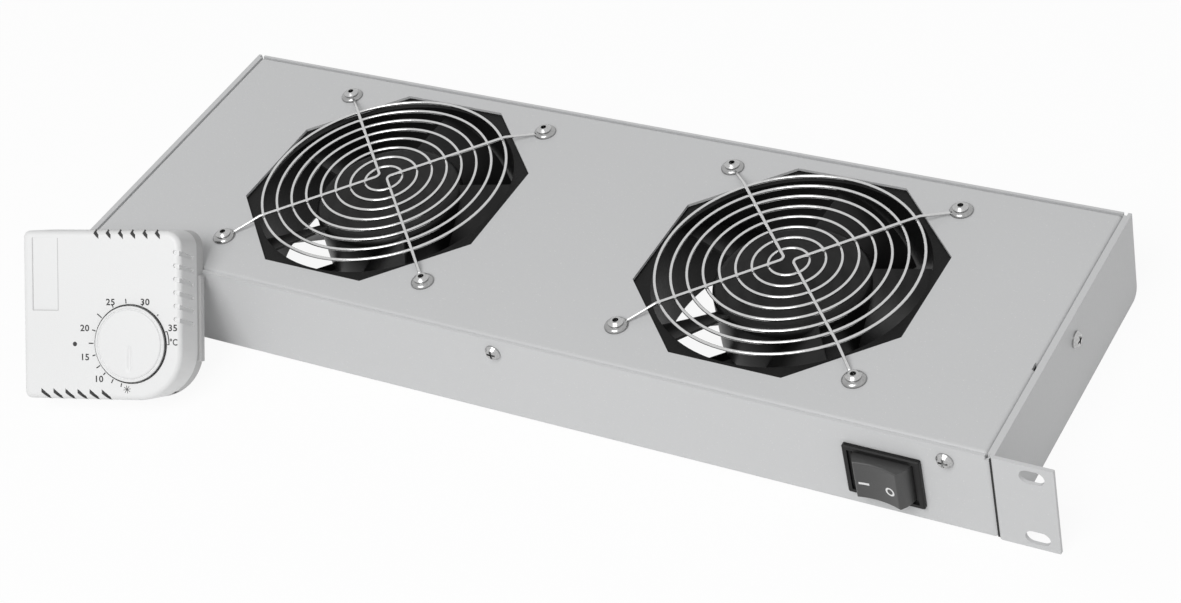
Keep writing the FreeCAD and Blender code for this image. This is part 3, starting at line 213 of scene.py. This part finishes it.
# ---------------------------------------------------------------- fans
# Each fan is a die-cast square frame, painted black, with struts to the motor plate underneath, and
# a black moulded rotor with curved blades.
cast, tree, here = finish("black_cast_paint")
skin = noise(tree, here, 900, 3, 0.6)
surface(tree, skin.blend(grey(0.003), grey(0.008)), 0.36 + skin * 0.2, height=skin, depth=0.00010,
        Specular_IOR_Level=0.12)
dress(cast, "fan_frame_left", "fan_frame_right", "fan_spider_left", "fan_spider_right")

moulded, tree, here = finish("black_moulded_rotor")
skin = noise(tree, here, 1400, 3, 0.6)
dust = noise(tree, here, 60, 3)
surface(tree, (dust ** 3).blend(grey(0.004), grey(0.024)), 0.30 + skin * 0.12, height=skin, depth=0.00003,
        Specular_IOR_Level=0.22)
dress(moulded, "fan_rotor_left", "fan_rotor_right")

steel, tree, here = finish("ground_steel")
grind = noise(tree, here, 1800, 2)
surface(tree, grind.blend(grey(0.45), grey(0.60)), 0.22 + grind * 0.16, 1.0, height=grind, depth=0.00002)
dress(steel, "fan_shaft_left", "fan_shaft_right", "fan_bearings_left", "fan_bearings_right")

winding, tree, here = finish("laminated_core_and_winding")
layers = tree.make("TexWave", {"bands_direction": "Z"}, {"Vector": here, "Scale": 320, "Distortion": 0.4},
                   "Fac")
surface(tree, layers.blend(grey(0.16, (1, 0.55, 0.35)), grey(0.30, (1, 0.6, 0.4))), 0.42 + layers * 0.1, 0.6,
        height=layers, depth=0.00015)
dress(winding, "fan_stator_left", "fan_stator_right")

TIN = (1, 0.98, 0.93)
tinned, tree, here = finish("tinned_brass")
smear = noise(tree, here, 700, 3)
surface(tree, smear.blend(grey(0.50, TIN), grey(0.68, TIN)), 0.26 + smear * 0.2, 1.0, height=smear,
        depth=0.00002)
dress(tinned, "fan_terminals_left", "fan_terminals_right", "switch_terminals", "inlet_pins")

# ---------------------------------------------------------------- wire guards
# Round steel wire, bent into rings and hairpins, spot-welded together and chrome-plated. Outside
# the last ring the hairpins' ends slope down to flat eyelets, which the rivets clamp to the cover.
chrome, tree, here = finish("bright_plated_wire")
drawn = noise(tree, here, 1100, 3, 0.6)
surface(tree, drawn.blend(grey(0.48), grey(0.68)), 0.10 + drawn * 0.10, 1.0, height=drawn, depth=0.00002)

# The eyelets take a darker copy of the wires' plating, as painted shade.
eyelet_shade_plate, tree, here = finish("plated_eyelet_painted_shade")
drawn = noise(tree, here, 900, 3, 0.6)
surface(tree, drawn.blend(grey(0.24), grey(0.44)), 0.14 + drawn * 0.12, 1.0, height=drawn, depth=0.00004)


def add_piece(name, points, faces, material, body, smooth=True, second=None, second_faces=()):
    """A mesh piece that rides on a body.  The faces in second_faces take the second material."""
    mesh = bpy.data.meshes.new(name)
    mesh.from_pydata(np.asarray(points).tolist(), [], faces if isinstance(faces, list) else faces.tolist())
    mesh.polygons.foreach_set("use_smooth", np.full(len(mesh.polygons), smooth))
    mesh.materials.append(material)
    if second:
        mesh.materials.append(second)
        second_ones = np.isin(np.arange(len(mesh.polygons)), second_faces)
        mesh.polygons.foreach_set("material_index", second_ones.astype(np.int32))
    piece = bpy.data.objects.new(name, mesh)
    bpy.context.scene.collection.objects.link(piece)
    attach(piece, body)
    return piece


def grid_faces(rows, columns, around=False, closed=False):
    """Four-sided faces of a grid whose columns go round where around, and whose rows do where closed."""
    row, column = np.meshgrid(np.arange(rows if closed else rows - 1),
                              np.arange(columns if around else columns - 1), indexing="ij")
    ahead, beside = (row + 1) % rows, (column + 1) % columns
    corners = [row * columns + column, row * columns + beside, ahead * columns + beside,
               ahead * columns + column]
    return np.stack(corners, -1).reshape(-1, 4)


def cap_ends(faces, rows, sides):
    """The faces of a skin of rows rings with its first and its last ring closed too."""
    first = list(range(sides))
    return faces.tolist() + [first, [(rows - 1) * sides + corner for corner in first[::-1]]]


def tube(path, radius, sides=10, closed=False):
    """A round wire: path(u) + radius * (cos(v) * side + sin(v) * lift), where side is level and
    square to the path, and lift is square to both."""
    path = np.asarray(path, float)
    along = np.roll(path, -1, 0) - np.roll(path, 1, 0) if closed else np.gradient(path, axis=0)
    along /= np.linalg.norm(along, axis=1)[:, None]
    side = np.cross(along, [0, 0, 1])
    side /= np.linalg.norm(side, axis=1)[:, None]
    lift = np.cross(side, along)
    v = np.linspace(0, 2 * np.pi, sides, endpoint=False)[None, :, None]
    skin = path[:, None] + radius * (np.cos(v) * side[:, None] + np.sin(v) * lift[:, None])
    faces = grid_faces(len(path), sides, True, closed)[:, ::-1]
    return skin.reshape(-1, 3), faces if closed else cap_ends(faces, len(path), sides)


def turned(profile, centre, sides=32, closed=False, axes=np.eye(3)):
    """A profile of (radius, height) turned round the last of three axes: r cos v, r sin v and the
    height along them. It runs up the inside, outwards, and down the outside."""
    profile = np.asarray(profile, float) * MM
    v = np.linspace(0, 2 * np.pi, sides, endpoint=False)
    ring = np.stack([profile[:, :1] * np.cos(v), profile[:, :1] * np.sin(v),
                     np.repeat(profile[:, 1:], sides, 1)], -1)
    return (ring @ axes + centre).reshape(-1, 3), grid_faces(len(profile), sides, True, closed)[:, ::-1]


def join(parts):
    """Several (points, faces) as one, with each part's corner numbers moved on."""
    starts = np.cumsum([0] + [len(points) for points, faces in parts])
    return (np.concatenate([points for points, faces in parts]),
            [[corner + start for corner in face] for (points, faces), start in zip(parts, starts.tolist())
             for face in (faces if isinstance(faces, list) else faces.tolist())])


WIRE = 0.7 * MM                                   # radius
RINGS = np.linspace(55.0, 8.4, 8) * MM
RING_HEIGHT, CROSS_HEIGHT, FOOT_HEIGHT = 3.4 * MM, 4.6 * MM, 0.9 * MM
EYELET, LANDING = 52.5 * MM, 4.3 * MM             # eyelet's middle each way, and where the wire meets it
EYELET_PROFILE = [(2.15, 0.0), (2.15, 1.4), (2.5, 1.8), (3.1, 1.8), (3.9, 1.6), (4.6, 1.1), (5.0, 0.5),
                  (4.95, 0.0)]
TURN, APEX = 2.4 * MM, 2.6 * MM                   # hairpin's radius, and its nearest point to the middle
RING_STEPS, LEG_STEPS, TURN_STEPS = 96, 60, 25
u = np.linspace(0, 2 * np.pi, RING_STEPS, endpoint=False)
unit_ring = np.stack([np.cos(u), np.sin(u), np.zeros(RING_STEPS)], 1)
for side in ("left", "right"):
    low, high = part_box(f"finger_guard_{side}")
    centre = np.array([(low.x + high.x) / 2, (low.y + high.y) / 2, low.z])
    parts = [tube(centre + [0, 0, RING_HEIGHT] + radius * unit_ring, WIRE, closed=True) for radius in RINGS]
    for hand in (-1, 1):
        # a hairpin: a leg in from one eyelet, an arc round by the middle, and a leg out to the other
        middle = APEX + TURN
        reach = math.hypot(EYELET - middle, EYELET)
        swing = math.atan2(EYELET, EYELET - middle) + math.acos(TURN / reach)
        bend = np.linspace(swing, 2 * np.pi - swing, TURN_STEPS)
        arc = np.stack([middle + TURN * np.cos(bend), TURN * np.sin(bend)], 1)
        out = np.array([EYELET, EYELET]) - arc[0]
        length = np.linalg.norm(out)
        leg = arc[0] + out / length * np.linspace(length - LANDING, 0, LEG_STEPS, endpoint=False)[:, None]
        plan = np.concatenate([leg, arc, leg[::-1] * [1, -1]]) * [hand, 1]
        outside = np.linalg.norm(plan, axis=1) - (RINGS[0] + 2 * WIRE)
        height = CROSS_HEIGHT + (FOOT_HEIGHT - CROSS_HEIGHT) * np.clip(outside / outside.max(), 0, 1)
        parts.append(tube(centre + np.column_stack([plan, height]), WIRE))
    wires = sum(len(faces) for points, faces in parts)
    parts += [turned(EYELET_PROFILE, centre + [x * EYELET, y * EYELET, 0], closed=True)
              for x, y in ((-1, -1), (-1, 1), (1, -1), (1, 1))]
    points, faces = join(parts)
    guard = add_piece(f"wire_guard_{side}", points, faces, chrome, "tray", second=eyelet_shade_plate,
                      second_faces=np.arange(wires, len(faces)))
    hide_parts(f"finger_guard_{side}")

# ---------------------------------------------------------------- corner joints
# Where the front panel's folded end meets a side plate's folded ear, the V between the two bends is
# filled with a black strip: painted shadow, standing for the shade deep in that gap.
joint_shadow_paint, tree, here = finish("black_joint_painted_shadow")
skin = noise(tree, here, 1500, 3)
surface(tree, skin.blend(grey(0.006), grey(0.016)), 0.6 + skin * 0.2, height=skin, depth=0.00006)

BEND, SUNK = 1.8 * MM, 0.62 * MM
FOOT, HEAD, BACK = 0.5 * MM, 1.5 * MM, 0.3        # gaps below and above, and the back's share of the width
half = BEND - math.sqrt(BEND ** 2 - (BEND - SUNK) ** 2)
low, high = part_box("chassis")
for side, joint in (("left", low.x), ("right", high.x)):
    # a closed strip along z: its face is at SUNK behind the panel, and its back is narrower
    outline = np.array([[-half, SUNK], [half, SUNK], [BACK * half, 2 * SUNK], [-BACK * half, 2 * SUNK]])
    ends = [np.column_stack([outline + [joint, low.y], np.full(4, z)]) for z in (low.z + FOOT, high.z - HEAD)]
    shadow_strip = add_piece(f"joint_painted_shadow_{side}", np.concatenate(ends),
                     [[0, 1, 5, 4], [1, 2, 6, 5], [2, 3, 7, 6], [3, 0, 4, 7], [3, 2, 1, 0], [4, 5, 6, 7]],
                     joint_shadow_paint, "tray", smooth=False)

# ---------------------------------------------------------------- rivets and screws
# Aluminium blind rivets hold each guard and fan. The cover's pan-head cross-recess screws are zinc
# plated.
alloy, tree, here = finish("bare_aluminium")
rub = noise(tree, here, 1500, 3)
surface(tree, rub.blend(grey(0.34), grey(0.56)), 0.16 + rub * 0.18, 1.0, height=rub, depth=0.00003)
dress(alloy, "guard_rivets_left", "guard_rivets_right")

zinc, tree, here = finish("zinc_plate")
rub = noise(tree, here, 1300, 3)
surface(tree, rub.blend(grey(0.30), grey(0.62)), 0.10 + rub * 0.16, 1.0, height=rub, depth=0.00005)
dress(zinc, "cover_screws", "inlet_screws", "earth_stud", "earth_nut", "terminal_screws")

# ---------------------------------------------------------------- rocker switch
# A snap-in rocker switch: a black bezel, and a dark grey rocker with its on and off marks printed
# in white on the hollow face.
bezel, tree, here = finish("black_switch_moulding")
skin = noise(tree, here, 2400, 2)
surface(tree, skin.blend(grey(0.005), grey(0.009)), 0.36 + skin * 0.12, height=skin, depth=0.00002,
        Specular_IOR_Level=0.25)
dress(bezel, "switch_housing", "switch_pin", "power_inlet", "stat_switch")

thumb_grey, tree, here = finish("dark_grey_rocker")
skin = noise(tree, here, 2000, 2)
surface(tree, skin.blend(grey(0.047), grey(0.064)), 0.34 + skin * 0.12, height=skin, depth=0.00003)
dress(thumb_grey, "switch_rocker")

ink, tree, here = finish("white_printing_ink")
skin = noise(tree, here, 2500, 2)
surface(tree, skin.blend(grey(0.72), grey(0.82)), 0.42 + skin * 0.1)

pivot = np.array(next(joint["pos_m"] for joint in frame["joints"] if joint["name"] == "switch_rock"))
LEAN = math.radians(-4.0)
DISH, RISE, ROCKER_HALF = 34.35, 8.5, 9.0
PRINT = 0.03                                      # an ink stands this far before its face, in millimetres


def on_rocker(x, z):
    """Points on the rocker's hollow face, in millimetres along it and up it: a circle of radius DISH
    whose ends, ROCKER_HALF from its middle, stand RISE before the pivot, turned by LEAN about it."""
    y = -RISE - math.sqrt(DISH ** 2 - ROCKER_HALF ** 2) + np.sqrt(DISH ** 2 - x ** 2) - PRINT
    flat = np.stack([x * math.cos(LEAN) - y * math.sin(LEAN), x * math.sin(LEAN) + y * math.cos(LEAN), z], -1)
    return (pivot + flat * MM).reshape(-1, 3)


# the on mark is a bar, given by its ends, and the off mark a ring of two radii about its middle
BAR_LEFT, BAR_RIGHT, BAR_LOW, BAR_HIGH = -7.8, -3.6, -1.95, -0.85
RING_X, RING_Z, RING_INSIDE, RING_OUTSIDE = 5.4, -1.6, 1.25, 2.05
bar = on_rocker(*np.meshgrid(np.linspace(BAR_LEFT, BAR_RIGHT, 9), np.linspace(BAR_LOW, BAR_HIGH, 3)))
v, out = np.meshgrid(np.linspace(0, 2 * np.pi, 36, endpoint=False), np.linspace(RING_INSIDE, RING_OUTSIDE, 3))
ring = on_rocker(RING_X + out * np.cos(v), RING_Z + out * np.sin(v))
marks = add_piece("rocker_marks", *join([(bar, grid_faces(3, 9)), (ring, grid_faces(3, 36, True)[:, ::-1])]),
                  ink, "rocker")

# ---------------------------------------------------------------- grommet, terminals and nylon pieces
# A black rubber grommet is pressed into the rear wall for the thermostat's lead. The terminal blocks
# and the dial's spindle are moulded in natural nylon, and the thermostat's strip is a brass bimetal.
rubber, tree, here = finish("black_rubber")
skin = noise(tree, here, 1600, 3)
surface(tree, skin.blend(grey(0.010), grey(0.022)), 0.62 + skin * 0.2, height=skin, depth=0.00006)
dress(rubber, "lead_grommet")

CREAM = (1, 0.99, 0.94)
nylon, tree, here = finish("natural_nylon")
skin = noise(tree, here, 900, 2)
surface(tree, skin.blend(grey(0.66, CREAM), grey(0.74, CREAM)), 0.42 + skin * 0.15, height=skin,
        depth=0.00003)
dress(nylon, "terminal_block", "stat_terminals", "stat_spindle")

BRASS = (1, 0.85, 0.55)
brass, tree, here = finish("bimetal_strip")
skin = noise(tree, here, 800, 2)
surface(tree, skin.blend(grey(0.45, BRASS), grey(0.62, BRASS)), 0.28 + skin * 0.15, 1.0, height=skin,
        depth=0.00002)
dress(brass, "stat_bimetal")

# ---------------------------------------------------------------- room thermostat
# A wall thermostat in white ABS: a shallow back plate, a snap-on cover with louvres, and a stepped
# dial with printed degrees and marks round it.
MILK = (0.996, 1, 1)
white, tree, here = finish("white_moulded_cover")
spark = noise(tree, here, 2200, 2)
cloud = noise(tree, here, 14, 2)
surface(tree, cloud.blend(grey(0.78, MILK), grey(0.82, MILK)), 0.36 + spark * 0.14, height=spark,
        depth=0.00005)
dress(white, "stat_cover")

# The back plate takes a darker grey than the cover: painted shade, for the shadow it sits in behind the
# cover.
back, tree, here = finish("back_plate_painted_shade")
spark = noise(tree, here, 2200, 2)
surface(tree, spark.blend(grey(0.50), grey(0.58)), 0.40 + spark * 0.14, height=spark, depth=0.00005)
dress(back, "stat_base")

turn = next(joint for joint in frame["joints"] if joint["name"] == "temperature_dial_turn")
inward, dial_centre = np.array(turn["axis"]), np.array(turn["pos_m"])
stand_up = np.array([0, 0, 1]) - inward * inward[2]
stand_up /= np.linalg.norm(stand_up)
face_axes = np.stack([np.cross(inward, stand_up), stand_up, -inward])
DIAL_X, DIAL_Z = 13.9, 24.2                       # dial's middle from the face's middle and from its foot

# the dial, in millimetres: a low cap 1.75 - 0.0005 r^2 high, a thin groove round it, and a rounded rim
# whose side is knurled, r + KNURL sin(KNURLS v).  Its pointer is a groove straight down from the
# middle, POINTER exp(-(x / POINTER_HALF)^2) deep, which fades in and out at its two ends in y
CAP, POLE, SIDE = 14.2, 0.02, 16.4
KNURLS, KNURL = 90, 0.14
POINTER, POINTER_HALF, POINTER_TOP, POINTER_FOOT, FADE = 0.62, 0.85, -1.2, -11.4, 3.0
AROUND = 4 * KNURLS
cap = [(r, 1.75 - 0.0005 * r * r) for r in np.linspace(POLE, CAP, 48)]
rim = [(14.5, 1.55), (14.75, 1.3), (14.9, 0.9), (15.1, 0.78), (15.25, 1.0), (15.45, 1.28), (15.8, 1.4),
       (16.1, 1.3), (16.3, 1.05), (SIDE, 0.7), (SIDE, -0.9), (14.0, -0.9), (POLE, -0.9)]
rows = len(cap + rim)
points, faces = turned(cap + rim, 0, AROUND)
x, y, z = points.T / MM
ends = (1 + np.exp(FADE * (y - POINTER_TOP))) * (1 + np.exp(-FADE * (y - POINTER_FOOT)))
z -= POINTER * np.exp(-(x / POINTER_HALF) ** 2) / ends * (z > 1.4)
swell = 1 + KNURL / SIDE * np.sin(KNURLS * np.arctan2(y, x)) * (np.hypot(x, y) > SIDE - 0.05)
points = np.stack([x * swell, y * swell, z], 1) * MM @ face_axes + dial_centre
knurled = np.arange(len(faces)).reshape(-1, AROUND)[rows - 5:rows - 3].ravel()
faces = cap_ends(faces, rows, AROUND)
# The knurled side takes a grey: painted shade of the gap on the white dial's edge.
knurl_shade, tree, here = finish("knurl_painted_shade")
spark = noise(tree, here, 1800, 2)
surface(tree, spark.blend(grey(0.16), grey(0.30)), 0.45 + spark * 0.1)
dial = add_piece("dial_knob", points, faces, white, "temperature_dial", second=knurl_shade,
                 second_faces=knurled)
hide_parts("stat_dial")

# A dark ink for the print round the dial, also laid on as painted shade in the louvres, in the gap round the
# dial and along the stop's outline.
print_and_shade_ink, tree, here = finish("dark_print_and_painted_shade")
skin = noise(tree, here, 2500, 2)
surface(tree, skin.blend(grey(0.012), grey(0.030)), 0.55 + skin * 0.1)


def on_face(points, x, z):
    """Points of a flat plan, in millimetres about (x, z) on the thermostat's face, PRINT before it."""
    points = np.asarray(points, float).reshape(-1, 2) + [x - DIAL_X, z - DIAL_Z]
    return np.column_stack([points, np.full(len(points), PRINT)]) * MM @ face_axes + dial_centre


# the capitals' height as a share of the type's size, its boldness as a share of theirs, its spacing
CAPITAL, BOLD, SPACING = 0.7, 0.030, 1.06


def letters(text, height, wide):
    """The plan of a short text, centred, its capitals height millimetres high and wide times as wide
    as the type's own: (points, faces)."""
    curve = bpy.data.curves.new("letters", "FONT")
    curve.body, curve.size, curve.align_x, curve.align_y = text, height / CAPITAL, "CENTER", "CENTER"
    curve.resolution_u, curve.offset, curve.space_character = 3, BOLD * height, SPACING
    source = bpy.data.objects.new("letters", curve)
    bpy.context.scene.collection.objects.link(source)
    mesh = bpy.data.meshes.new_from_object(source.evaluated_get(bpy.context.evaluated_depsgraph_get()))
    bpy.data.objects.remove(source)
    points = np.array([vertex.co[:2] for vertex in mesh.vertices]) * [wide, 1.0]
    return points, [list(face.vertices) for face in mesh.polygons]


# the figures' height, then each text with its middle's x and z and its width
FIGURES = 2.7
DEGREES = (("10", -1.4, 8.8, 1.1), ("15", -7.9, 18.1, 1.1), ("20", -7.8, 30.6, 1.1), ("25", 4.6, 41.9, 1.1),
           ("30", 20.9, 42.1, 1.1), ("35", 33.8, 31.2, 1.1), ("°C", 34.1, 25.1, 0.85))
plans = []
for text, x, z, wide in DEGREES:
    points, faces = letters(text, FIGURES, wide)
    plans.append((on_face(points, x, z), faces))


def strokes(lines, x, z, width):
    """Adds straight bars between the ends in lines, each (x0, z0, x1, z1): end +- half the width across."""
    for x0, z0, x1, z1 in lines:
        across = np.array([z0 - z1, x1 - x0]) / math.hypot(x1 - x0, z1 - z0) * width / 2
        ends = np.array([[x0, z0], [x0, z0], [x1, z1], [x1, z1]]) + np.outer([1, -1, -1, 1], across)
        plans.append((on_face(ends, x, z), [[0, 1, 2, 3]]))


# ticks point at the dial's middle: degrees clockwise from straight down, inner and outer radius
TICKS = np.array([(14.7, 17.5, 19.1), (28.8, 17.4, 19.3), (44.1, 17.4, 18.8), (57.0, 17.4, 19.5),
                  (73.5, 17.4, 18.9), (90.0, 17.6, 19.9), (107.8, 17.4, 19.1), (129.1, 17.5, 20.2),
                  (152.6, 17.4, 18.8), (173.7, 17.4, 19.4), (199.2, 17.4, 18.6), (225.9, 17.6, 18.4)])
TICK, FINE = 0.5, 0.26                            # widths of the marks' bars
rays = -np.stack([np.sin(np.radians(TICKS[:, 0])), np.cos(np.radians(TICKS[:, 0]))], 1)
strokes(np.hstack([rays * TICKS[:, 1:2], rays * TICKS[:, 2:]]), DIAL_X, DIAL_Z, TICK)
# the frost mark is four crossed bars, the stop's outline an arc with two short ends beside the dial,
# and the dot at the left a filled disc; the stop's outline is painted shadow of the gap round the stop
FROST_X, FROST_Z, FROST = 12.0, 4.7, 1.7
v = np.radians([10, 55, 100, 145])
strokes(FROST * np.stack([np.cos(v), np.sin(v), -np.cos(v), -np.sin(v)], 1), FROST_X, FROST_Z, FINE)
STOP = 18.1
v = np.radians([0, 6, 12, 18])
stop = STOP * np.stack([np.cos(v), np.sin(v)], 1)
strokes(np.hstack([stop[:-1], stop[1:]]), DIAL_X, DIAL_Z, TICK)
strokes([(17.2, 0.0, STOP, 0.0), (16.3, 5.4, 17.2, 5.6)], DIAL_X, DIAL_Z, 0.4)
DOT_X, DOT_Z, DOT, DOT_CORNERS = -12.6, 23.8, 1.0, 24
v = np.linspace(0, 2 * np.pi, DOT_CORNERS, endpoint=False)
plans.append((on_face(DOT * np.stack([np.cos(v), np.sin(v)], 1), DOT_X, DOT_Z), [list(range(DOT_CORNERS))]))
print_and_stop_shadow = add_piece("dial_print_and_stop_shadow", *join(plans), print_and_shade_ink, "tray", smooth=False)

# a fine grey line of painted shade runs round the shallow recess for a label, up to the cover's rounded top
# edge
LABEL_LEFT, LABEL_RIGHT, LABEL_LOW, LABEL_TOP, LABEL_LINE = -32.6, -20.4, 38.2, 69.4, 0.36
plans = []
strokes([(LABEL_LEFT, LABEL_TOP, LABEL_LEFT, LABEL_LOW), (LABEL_LEFT, LABEL_LOW, LABEL_RIGHT, LABEL_LOW),
         (LABEL_RIGHT, LABEL_LOW, LABEL_RIGHT, LABEL_TOP)], 0, 0, LABEL_LINE)
edge = add_piece("label_edge_painted_shade", *join(plans), back, "tray", smooth=False)

# a black sheet of painted shade fills the louvres just under the face, standing for the shade inside the
# cover, and follows its rounded edge: a bar runs from end to end of a slot, SHADE_DEPTH under the face,
# and lower by EDGE - sqrt(EDGE^2 - (EDGE - e)^2) where it is e from the cover's top or foot
HEIGHT, EDGE, PITCH, SLOTS = 72.5, 2.5, 5.8, 6
SHADE_DEPTH, SLOT_HALF = 0.4, 0.93
TOP_SLOT = (-3.4, HEIGHT - 0.2, -0.8, HEIGHT - 2.6)
LOW_SLOT = (-29.1, 3.6, -25.0, 0.4)
ends = np.array([(x0 + k * PITCH, z0, x1 + k * PITCH, z1) for x0, z0, x1, z1 in (TOP_SLOT, LOW_SLOT)
                 for k in range(SLOTS)])[:, :, None, None]
t, across = np.meshgrid(np.linspace(0, 1, 9), np.linspace(-SLOT_HALF, SLOT_HALF, 3))
x = ends[:, 0] + (ends[:, 2] - ends[:, 0]) * t
z = ends[:, 1] + (ends[:, 3] - ends[:, 1]) * t + across
into_edge = np.clip(EDGE - np.minimum(z, HEIGHT - z), 0, EDGE)
under = -SHADE_DEPTH - EDGE + np.sqrt(EDGE ** 2 - into_edge ** 2)
bars = np.stack([x - DIAL_X, z - DIAL_Z, under], -1) * MM @ face_axes + dial_centre
louvre_shade = add_piece("louvre_painted_shade", *join([(bar.reshape(-1, 3), grid_faces(3, 9)) for bar in bars]),
                   print_and_shade_ink, "tray")

# the gap round the dial is darkened with painted shadow: a dark ring of square section carried round it
GAP = [(16.7, -0.3), (17.08, -0.3), (17.08, -0.7), (16.7, -0.7)]
ring = add_piece("dial_gap_painted_shadow", *turned(GAP, dial_centre, 120, True, face_axes), print_and_shade_ink, "tray",
                 smooth=False)
